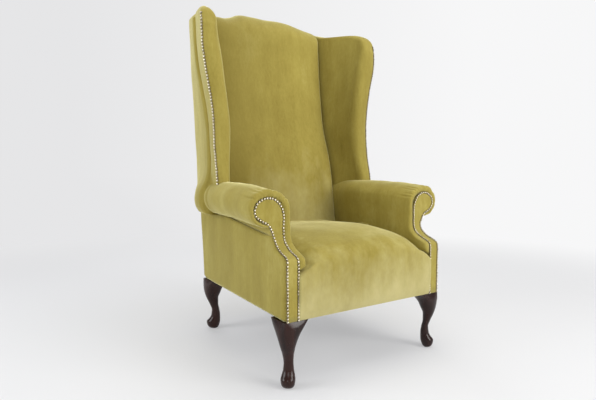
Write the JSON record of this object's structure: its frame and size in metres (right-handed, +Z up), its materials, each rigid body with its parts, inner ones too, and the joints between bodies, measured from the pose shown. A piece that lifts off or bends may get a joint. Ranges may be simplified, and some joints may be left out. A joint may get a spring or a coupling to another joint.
{
  "type": "wingback armchair",
  "caption": "High-backed wing armchair with a sprung seat, padded roll-over arms, nail-trimmed velvet covers and carved cabriole legs on a jointed timber frame.",
  "frame": {"origin": "on the floor, in the middle of the chair's footprint box", "axes": "+Z up, the sitter faces -Y and the sitter's left is +X"},
  "size_m": [0.831, 0.8606, 1.335],
  "materials": {
    "velvet": "chartreuse pile with a soft sheen",
    "foam": "matt upholstery foam",
    "beech": "planed, unfinished",
    "mahogany": "dark stain under satin lacquer",
    "spring_steel": "plain drawn wire and bolt steel",
    "webbing": "woven jute",
    "lining": "thin black felted cloth",
    "nail_brass": "pale antiqued domes"
  },
  "bodies": {
    "root": {"cabriole_leg_front_left": "mahogany", "cabriole_leg_front_right": "mahogany", "cabriole_leg_rear_left": "mahogany", "cabriole_leg_rear_right": "mahogany", "corner_block_front_left": "beech", "corner_block_front_right": "beech", "corner_block_rear_left": "beech", "corner_block_rear_right": "beech", "leg_bolt_front_left": "spring_steel", "leg_bolt_front_right": "spring_steel", "leg_bolt_rear_left": "spring_steel", "leg_bolt_rear_right": "spring_steel", "seat_rail_front": "beech", "seat_rail_rear": "beech", "seat_rail_left": "beech", "seat_rail_right": "beech", "arm_post_left": "beech", "arm_post_right": "beech", "arm_rail_left": "beech", "arm_rail_right": "beech", "back_post_left": "beech", "back_post_right": "beech", "back_lower_rail": "beech", "crest_rail": "beech", "wing_post_left": "beech", "wing_post_right": "beech", "wing_top_rail_left": "beech", "wing_top_rail_right": "beech", "seat_spring_1": "spring_steel", "seat_spring_2": "spring_steel", "seat_spring_3": "spring_steel", "seat_spring_4": "spring_steel", "back_webbing_1": "webbing", "back_webbing_2": "webbing", "back_webbing_3": "webbing", "dust_cover": "lining", "spring_sheet": "webbing", "seat_foam": "foam", "back_foam": "foam", "arm_foam_left": "foam", "arm_foam_right": "foam", "wing_foam_left": "foam", "wing_foam_right": "foam", "seat_cover": "velvet", "inside_back_cover": "velvet", "outside_back": "velvet", "arm_cover_left": "velvet", "arm_cover_right": "velvet", "outside_arm_left": "velvet", "outside_arm_right": "velvet", "inside_wing_cover_left": "velvet", "inside_wing_cover_right": "velvet", "outside_wing_left": "velvet", "outside_wing_right": "velvet", "arm_facing_left": "velvet", "arm_facing_right": "velvet", "arm_nail_strip_left": "nail_brass", "arm_nail_strip_right": "nail_brass", "wing_nail_strip_left": "nail_brass", "wing_nail_strip_right": "nail_brass"}
  },
  "joints": []
}
